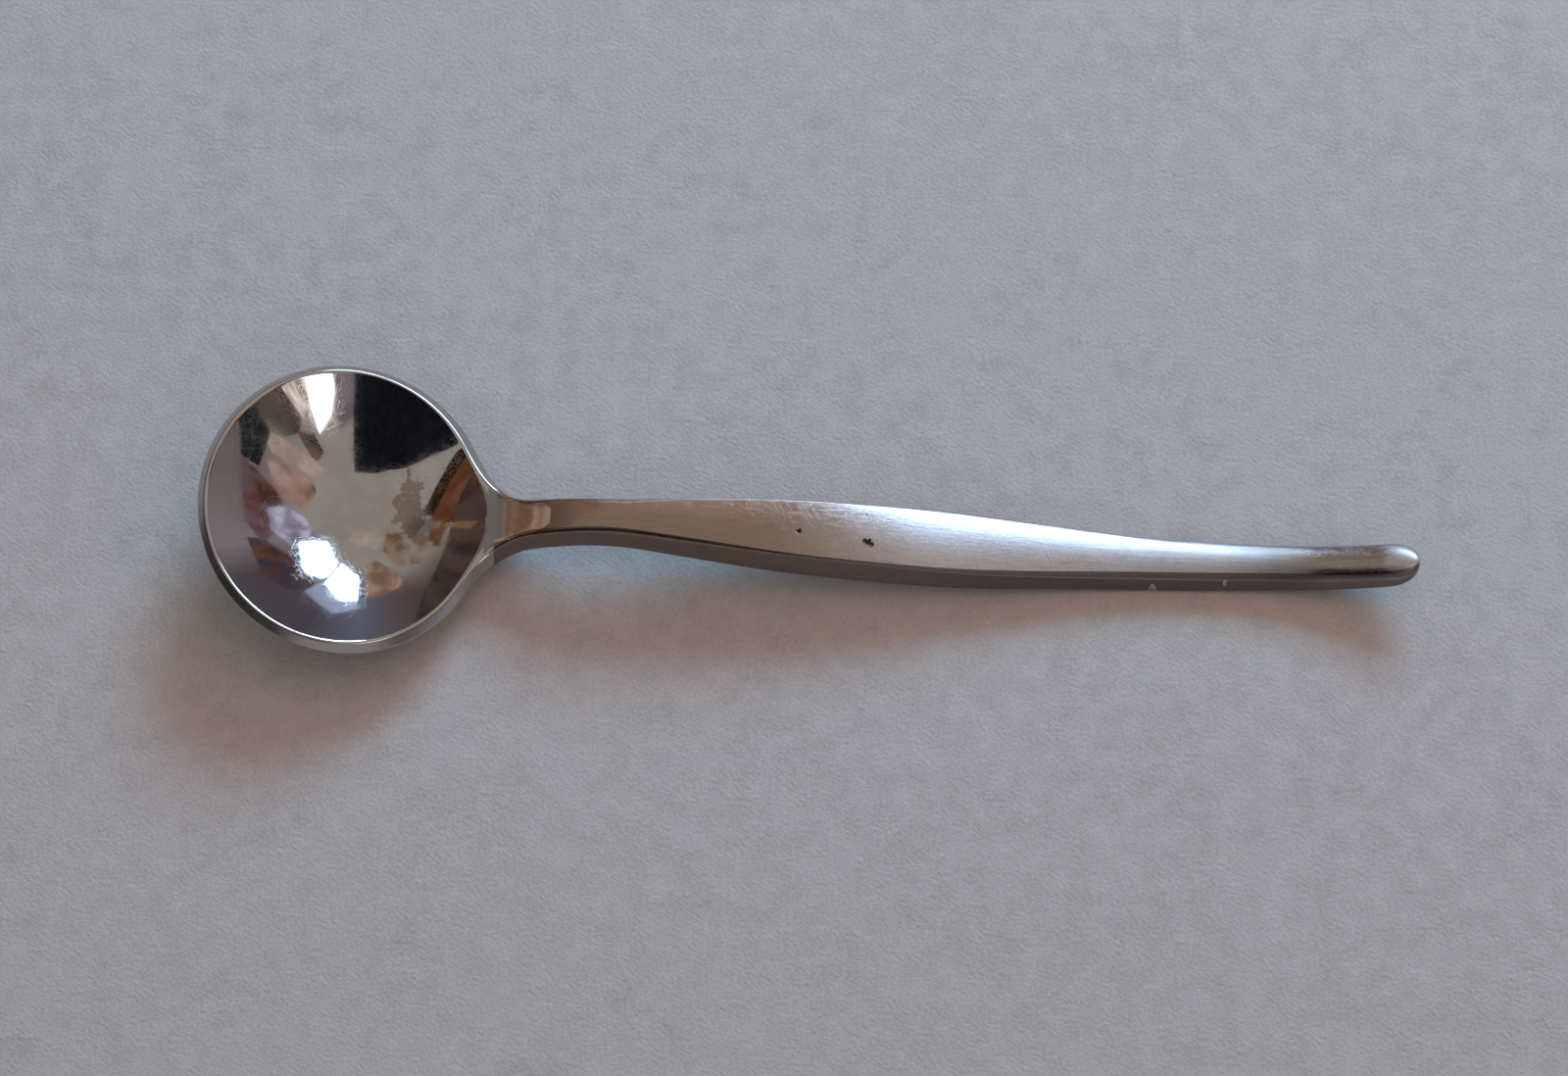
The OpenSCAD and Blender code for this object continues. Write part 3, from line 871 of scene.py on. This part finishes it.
# Where its pale end starts before that edge and how softly, and the tones of the polish, its pale end, its
# side faces, darker partly as painted shade, and the painted reflection of a warm line along its near edge
pale_lead = -2.1
pale_soft = 0.7
polish_tones = ((0.62, 0.59, 0.56, 1), (0.56, 0.52, 0.48, 1))
pale_tone = (1.0, 0.97, 0.88, 1)
polish_side_shade_tone = (0.36, 0.32, 0.3, 1)
edge_reflection_tone = (0.3, 0.16, 0.1, 1)


def neck_polish():
    """Bright polish that ends in a rounded edge on the neck, where the brushed finish starts."""
    recipe = Recipe(bpy.data.materials.new("polished_neck_steel"))
    spot, x, y = recipe.place()
    ragged = recipe.noise(spot, 0.6, detail=3.0)
    edge = polish_x - x_mid + polish_lead - polish_bow * (abs(y) / polish_half) ** 3
    satin = (x - edge + (ragged - 0.5) * 0.35).step(0, 0.22)
    rough_colour, rough, height = satin_parts(recipe, spot, x, y)
    side = recipe.attribute("side")
    hairlines = scratches(recipe, spot, (20, 75, 140), 1.6, 0.05, 0.31)
    cloud = recipe.noise(spot, 2.0)
    bright = recipe.colour_mix(cloud, *polish_tones)
    pale_end = (x - edge).step(pale_lead, pale_soft) * (1 - y.step(1.0, 0.8))
    patched = recipe.colour_mix(pale_end * 0.9, bright, pale_tone)
    # Side faces: plainer steel, darkened by painted shade.
    plain = recipe.colour_mix(side, patched, polish_side_shade_tone)
    # Painted reflection: a warm brown line along the near edge of the neck.
    edge_reflection_mask = side.between(0.08, 0.75, 0.15) * (1 - y.step(-0.6, 0.6))
    edged = recipe.colour_mix(edge_reflection_mask * 0.6, plain, edge_reflection_tone)
    colour = recipe.colour_mix(satin, edged, rough_colour)
    polish = 0.06 + 0.07 * cloud + 0.05 * hairlines + 0.12 * side
    roughness = satin * rough + (1 - satin) * polish
    normal = recipe.bump(satin * height + (1 - satin) * hairlines * 0.3, satin_deep)
    return recipe.metal(colour, roughness, normal)


# Marks of use on the handle: their places and reaches in the frame in millimetres, and their tones
pit_spot = (pit_at[0] - x_mid, pit_at[1])
chip_spots = [((36.95, -3.0), 0.42), ((44.6, -2.2), 0.22)]
gouge_spots = [((5.82, -0.85), 0.26), ((6.15, -1.05), 0.3), ((6.52, -1.2), 0.3), ((6.34, -0.76), 0.2)]
pit_shade_tone = (0.03, 0.025, 0.02, 1)
gouge_tone = (0.04, 0.032, 0.028, 1)
chip_tone = (0.85, 0.78, 0.7, 1)


def handle_satin():
    """Satin steel, brushed along the handle, with a pit darkened by painted shade, a gouge and two chips in
    the edge.
    """
    recipe = Recipe(bpy.data.materials.new("brushed_handle_steel"))
    spot, x, y = recipe.place()
    colour, roughness, height = satin_parts(recipe, spot, x, y)
    # Painted shade: the pit's dent is coloured near black.
    pit = spot_at(x, y, pit_spot, 0.75 * pit_r)
    colour = recipe.colour_mix(pit, colour, pit_shade_tone)
    bitten = recipe.noise(spot, 0.17, (1, 2.4, 1), 30, 1.0).step(0.42, 0.2)
    for at, reach in gouge_spots:
        gouge = spot_at(x, y, at, reach, 0.7) * bitten
        colour = recipe.colour_mix(gouge, colour, gouge_tone)
    for at, reach in chip_spots:
        chip = spot_at(x, y, at, reach) * recipe.noise(spot, 0.2).step(0.45, 0.1)
        colour = recipe.colour_mix(chip, colour, chip_tone)
        roughness = roughness + 0.3 * chip
    return recipe.metal(colour, roughness + 0.4 * pit, recipe.bump(height, satin_deep))


# The studio: a dome, cards and lamps round the bowl, in metres. Directions are azimuth and elevation in
# degrees, seen from the bowl.
bowl_middle = Vector((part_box("bowl")[0].x + outer_a * MM, 0, hollow_depth / 2 * MM))
dome_r = 2.5
dome_rings = 36
dome_cols = 72
dome_low, dome_high = -20, 84
overhead_tones = ((0.31, 0.275, 0.25, 1), (0.45, 0.41, 0.385, 1))
card_far = 2.0
lamp_far = 1.6
paper_r = 0.5

# Tones of the dome near the floor, by azimuth
wall_tones = [
    (-180, (0.045, 0.028, 0.024)), (-150, (0.03, 0.022, 0.02)), (-118, (0.06, 0.055, 0.055)),
    (-98, (0.34, 0.31, 0.3)), (-62, (0.34, 0.31, 0.3)), (-48, (0.1, 0.08, 0.07)), (-28, (0.11, 0.09, 0.08)),
    (-10, (0.19, 0.155, 0.155)), (12, (0.21, 0.175, 0.18)), (38, (0.27, 0.24, 0.255)), (50, (0.1, 0.08, 0.1)),
    (75, (0.09, 0.078, 0.1)), (92, (0.14, 0.155, 0.22)), (104, (0.13, 0.105, 0.115)),
    (122, (0.1, 0.065, 0.055)), (157, (0.076, 0.05, 0.05)), (180, (0.045, 0.028, 0.024))]


def toward(azimuth, elevation, far):
    """The point that lies so far from the bowl in a direction."""
    a = math.radians(azimuth)
    e = math.radians(elevation)
    return bowl_middle + far * Vector((math.cos(e) * math.cos(a), math.cos(e) * math.sin(a), math.sin(e)))


def staged(name, points, faces, material):
    """A piece of the studio from its points and faces, which isn't part of the spoon."""
    mesh = bpy.data.meshes.new(name)
    mesh.from_pydata(points, [], faces)
    mesh.materials.append(material)
    stage = bpy.data.objects.new(name, mesh)
    bpy.context.scene.collection.objects.link(stage)
    return stage


def glow(name, tones, strength=1.0, size=0.3):
    """Material that glows in one tone, or in several that a noise lays out in patches of a size in metres."""
    recipe = Recipe(bpy.data.materials.new(name))
    colour = (*tones[0], 1)
    if len(tones) > 1:
        metres = recipe.node("ShaderNodeTexCoord", output=3)
        patches = recipe.node("ShaderNodeTexNoise", {}, {"Vector": metres, "Scale": 1 / size, "Detail": 1.5})
        spread = patches.math("SUBTRACT", 0.3) / 0.4
        stops = [((i + 0.5) / len(tones), (*c, 1)) for i, c in enumerate(tones)]
        colour = recipe.node("ShaderNodeValToRGB", {"stops": stops}, {"Fac": spread})
    light = recipe.node("ShaderNodeEmission", {}, {"Color": colour, "Strength": strength})
    recipe.node("ShaderNodeOutputMaterial", {}, {"Surface": light})
    return recipe.owner


def card(name, corners, *tones, far=card_far, strength=1.0, size=0.3):
    """A studio card between corners given as directions. It shows in reflections only."""
    points = [toward(a, e, far)[:] for a, e in corners]
    made = staged(name, points, [list(range(len(points)))], glow(name, tones, strength, size))
    made.visible_camera = False
    made.visible_diffuse = False
    made.visible_shadow = False
    return made


def softbox(name, azimuth, elevation, wide, high, radiance, far=lamp_far):
    """A rectangular lamp that faces the spoon and casts its light and shadow. Its size is in degrees, and
    its power follows from its area and radiance. The metal sees the panes of the card set instead."""
    light = bpy.data.lights.new(name, "AREA")
    light.shape = "RECTANGLE"
    light.size = 2 * far * math.tan(math.radians(wide) / 2)
    light.size_y = 2 * far * math.tan(math.radians(high) / 2)
    light.color = [c / max(radiance) for c in radiance]
    light.energy = max(radiance) * math.pi * light.size * light.size_y
    lamp = bpy.data.objects.new(name, light)
    lamp.location = toward(azimuth, elevation, far)
    lamp.rotation_euler = (bowl_middle - lamp.location).to_track_quat("-Z", "Y").to_euler()
    lamp.visible_glossy = False
    bpy.context.scene.collection.objects.link(lamp)
    return lamp


def studio_dome():
    """A dome that glows softly: pale and warm overhead, and in the tones of the walls lower down."""
    recipe = Recipe(bpy.data.materials.new("studio_dome"))
    metres = recipe.node("ShaderNodeTexCoord", output=3)
    x, y, z = [recipe.node("ShaderNodeSeparateXYZ", {}, {0: metres}, output=i) for i in range(3)]
    turn = y.math("ARCTAN2", x) / (2 * math.pi) + 0.5
    stops = [((a + 180) / 360, (*c, 1)) for a, c in wall_tones]
    wall = recipe.node("ShaderNodeValToRGB", {"stops": stops}, {"Fac": turn})
    cloud = recipe.node("ShaderNodeTexNoise", {}, {"Vector": metres, "Scale": 1.3, "Detail": 3.0})
    overhead = recipe.colour_mix(cloud, *overhead_tones)
    high = (z / dome_r + 0.2 * (cloud - 0.5)).step(0.5, 0.3)
    tone = recipe.colour_mix(high, wall, overhead)
    light = recipe.node("ShaderNodeEmission", {}, {"Color": tone, "Strength": 1.0})
    recipe.node("ShaderNodeOutputMaterial", {}, {"Surface": light})
    turns = np.linspace(0, 2 * math.pi, dome_cols + 1)[:-1]
    rise = np.radians(np.linspace(dome_low, dome_high, dome_rings))[:, None]
    rings = np.stack([np.cos(rise) * np.cos(turns), np.cos(rise) * np.sin(turns),
                      np.sin(rise) * np.ones(dome_cols)], -1) * dome_r
    points = rings.reshape(-1, 3).tolist() + [[0, 0, dome_r]]
    number = np.arange(dome_rings * dome_cols).reshape(dome_rings, dome_cols)
    top = np.stack([np.roll(number[-1], -1), number[-1], np.full(dome_cols, number.size)], -1)
    faces = grid_faces(dome_rings, dome_cols).tolist() + top.tolist()
    dome = staged("studio_dome", points, faces, recipe.owner)
    dome.visible_camera = False
    return dome


# Tones of the paper: its grain, and the cloud over it
grain_tones = ((0.46, 0.449, 0.436, 1), (0.602, 0.592, 0.582, 1))
cloud_tone = (0.58, 0.57, 0.56, 1)
paper_cols = 96


def paper_floor():
    """A large round sheet of pale paper: fibres, fine tooth and slow tone changes."""
    recipe = Recipe(bpy.data.materials.new("pale_paper"))
    spot = recipe.place()[0]
    tooth = recipe.noise(spot, 0.42, detail=5.0)
    mottle = recipe.noise(spot, 2.6, detail=3.0)
    fibre = recipe.noise(spot, 0.3, (3.0, 1, 1), 35, 3.0)
    cross = recipe.noise(spot, 0.3, (3.0, 1, 1), -52, 3.0)
    cloud = recipe.noise(spot, 9.0, detail=4.0)
    grain = tooth * 0.55 + mottle * 0.45
    shade = recipe.colour_mix(grain.step(0.5, 0.4), *grain_tones)
    colour = recipe.colour_mix(cloud.step(0.5, 0.4) * 0.5, shade, cloud_tone)
    normal = recipe.bump(tooth * 0.8 + fibre * 0.5 + cross * 0.4, 150)
    shader = recipe.node("ShaderNodeBsdfPrincipled", {}, {
        "Base Color": colour, "Roughness": 0.85, "Specular IOR Level": 0.25, "Normal": normal})
    recipe.node("ShaderNodeOutputMaterial", {}, {"Surface": shader})
    turns = np.linspace(0, 2 * math.pi, paper_cols + 1)[:-1]
    rim = np.stack([np.cos(turns), np.sin(turns), 0 * turns], -1) * paper_r
    return staged("paper_floor", rim.tolist(), [list(range(paper_cols))], recipe.owner)


def studio():
    """A cool key light from the far right, a warm soft light overhead, and cards and panes for the metal
    to reflect."""
    softbox("key_light", 70, 28.5, 26, 17, (7.1, 13.3, 19.2), 0.8)
    softbox("warm_overhead", 42, 62, 50, 50, (0.66, 0.26, 0.15), 0.8)
    pane = (0.52, 0.78, 1.1)
    card("pane_left", [(41, 29), (43, 35), (49, 43), (57, 41), (68, 35), (67, 24), (58, 21)], pane,
         far=1.7, strength=10.0)
    card("pane_right", [(69, 22), (70, 37), (76, 35), (85, 33), (88, 19), (80, 17)], pane,
         far=1.7, strength=10.0)
    card("sill", [(65, 14), (67, 22), (84, 21), (90, 16), (80, 11)], (0.42, 0.47, 0.68), far=1.75)
    card("beige_card", [(62, 54), (96, 53), (104, 60), (80, 66), (60, 62)], (0.44, 0.37, 0.31),
         (0.54, 0.46, 0.39), far=1.8)
    card("grey_band", [(137, 53), (147, 44), (157.5, 47), (158, 57), (142, 61)], (0.19, 0.178, 0.172),
         far=1.95)
    card("front_strip", [(-46, 32), (-58, 36), (-57, 40), (-49, 43), (-35, 43), (-39, 37)], (1.0, 0.98, 0.96),
         far=1.7, strength=3.0)
    card("dark_card", [(-66, 47), (-56, 58), (-42, 67), (-62, 72), (-89, 74), (-112, 71), (-136, 65),
                       (-150, 52), (-157, 45), (-157, 30), (-120, 26), (-76, 32)],
         (0.006, 0.006, 0.01), (0.011, 0.011, 0.017), far=0.6, size=0.03)
    card("grey_card", [(-58, 35), (-74, 36), (-68, 48), (-50, 48)], (0.16, 0.13, 0.15), (0.26, 0.22, 0.25),
         far=1.9, size=0.2)
    card("cream_card", [(-30, 27), (-46, 30), (-42, 36), (-34, 39), (-28, 34)], (0.35, 0.25, 0.2),
         (1.3, 1.15, 1.05), (0.55, 0.45, 0.38), far=1.95, size=0.14)
    card("sky_card", [(21, 23), (18, 31), (25, 38), (44, 41), (43, 26), (32, 21)], (0.28, 0.22, 0.33),
         (0.42, 0.4, 0.55), (0.62, 0.68, 0.8), far=1.9, size=0.18)
    card("tan_card", [(-12, 25), (-16, 32), (-20, 45), (-18, 51), (-7, 47), (-7, 36), (-6, 28)],
         (0.42, 0.31, 0.26), (0.56, 0.43, 0.37), size=0.25)
    card("brown_card", [(-24, 35), (-32, 41), (-29, 48), (-17, 46)], (0.06, 0.035, 0.03), (0.2, 0.12, 0.1))
    card("olive_card", [(-16, 24), (-30, 27), (-32, 36), (-24, 36), (-17, 32)], (0.07, 0.055, 0.045),
         (0.16, 0.125, 0.1), far=1.9)
    card("rose_card", [(-2, 26), (-6, 36), (-5, 45), (3, 48), (14, 44), (20, 40), (12, 29)],
         (0.2, 0.09, 0.06), (0.42, 0.25, 0.2), (0.5, 0.36, 0.33), size=0.35)
    card("maroon_card", [(3, 20), (6, 24), (12, 29), (21, 31), (33, 23), (38, 16), (28, 15), (14, 18)],
         (0.09, 0.034, 0.02), (0.16, 0.07, 0.07), (0.15, 0.11, 0.13), (0.07, 0.03, 0.03), size=0.35)
    card("slate_card", [(-11, 22), (-17, 25), (-14, 28), (3, 24), (3, 20)], (0.012, 0.014, 0.018),
         (0.03, 0.032, 0.036))
    card("plum_card", [(35, 13), (36, 17), (46, 21), (56, 22), (66, 20), (66, 15), (60, 11), (50, 10)],
         (0.03, 0.02, 0.03), (0.16, 0.06, 0.035), (0.05, 0.045, 0.075), (0.1, 0.05, 0.045), size=0.45)
    card("ochre_card", [(89, 41), (97, 45), (110, 36), (113, 27), (100, 22), (91, 21)], (0.1, 0.06, 0.045),
         (0.5, 0.34, 0.26), (0.24, 0.15, 0.11), size=0.5)
    card("parcel_card", [(104, 52), (112, 64), (132, 60), (146, 50), (143, 39), (126, 34), (112, 38)],
         (0.12, 0.07, 0.05), (0.3, 0.2, 0.15), (0.4, 0.34, 0.29), (0.2, 0.14, 0.1), size=0.5)
    card("orange_card", [(-163, 41), (-172, 38), (172, 38), (150, 38), (141, 35), (139, 40), (148, 45),
                         (162, 49), (-176, 47)], (0.13, 0.045, 0.02), (0.2, 0.085, 0.045), size=0.2)
    card("copper_card", [(158, 31), (154.2, 31), (154.2, 36.6), (158, 36.6)], (0.25, 0.135, 0.085),
         far=1.9)
    card("cream_strip", [(157, 36.6), (154, 36.6), (153.8, 40.5), (156.4, 40.5)], (0.3, 0.21, 0.145),
         far=1.9)
    card("linen_card", [(157.5, 41.5), (152, 41.5), (150, 45), (156, 46)], (0.26, 0.205, 0.17), far=1.85)
    card("black_strip", [(-160, 44), (-163, 40), (-176, 45), (160, 48), (160, 52), (163, 54), (-176, 51)],
         (0.03, 0.014, 0.008), far=1.8)
    card("umber_card", [(-168, 12), (-172, 40), (165, 40), (148, 35), (130, 27), (118, 20), (108, 10),
                        (110, 0), (140, -6), (170, 0)], (0.045, 0.03, 0.028), (0.09, 0.06, 0.053), size=0.3)


def pale_world():
    """An even pale backdrop."""
    world = bpy.data.worlds.new("pale_backdrop")
    recipe = Recipe(world)
    light = recipe.node("ShaderNodeBackground", {}, {"Color": (0.33, 0.33, 0.35, 1), "Strength": 1.0})
    recipe.node("ShaderNodeOutputWorld", {}, {"Surface": light})
    bpy.context.scene.world = world


# The camera: it looks at a point on the table from a distance, along a direction
aim = Vector((46.85 - x_mid, 1.205, 0)) * MM
camera_far = 445.1 * MM
camera_rise = math.radians(70.86)
camera_turn = math.radians(2.796)
camera_lens = 94.5


def place_camera():
    """The camera, level and turned towards the point that it looks at."""
    rise, turn = camera_rise, camera_turn
    back = Vector((math.sin(turn) * math.cos(rise), -math.cos(turn) * math.cos(rise), math.sin(rise)))
    right = Vector((math.cos(turn), math.sin(turn), 0))
    up = back.cross(right)
    data = bpy.data.cameras.new("camera")
    data.lens = camera_lens
    data.sensor_width = 36
    data.clip_start = 0.01
    camera = bpy.data.objects.new("camera", data)
    turned = Matrix((right, up, back)).transposed().to_4x4()
    camera.matrix_world = Matrix.Translation(aim + back * camera_far) @ turned
    bpy.context.scene.collection.objects.link(camera)
    bpy.context.scene.camera = camera


place_camera()
end = end_rings()
tip = [x_end, 0, end[-1, :, 2].mean()]
skins = [bowl_skin(),
         bar_skin(sections(stations(bowl_cut, polish_x, shoulder_step))),
         bar_skin(sections(stations(polish_x, grip_x, stem_step))),
         bar_skin(sections(stations(grip_x, heel_x, grip_step))),
         bar_skin(end, tip)]
join_normals(skins)
satin = handle_satin()
mesh_piece("bowl_skin", skins[0], "bowl", bowl_polish())
mesh_piece("shoulder_skin", skins[1], "shoulders", neck_polish())
mesh_piece("stem_skin", skins[2], "stem", satin)
mesh_piece("grip_skin", skins[3], "grip", satin)
mesh_piece("end_skin", skins[4], "handle_end", satin)

pale_world()
studio_dome()
paper_floor()
studio()
bpy.context.scene.view_settings.view_transform = "Standard"
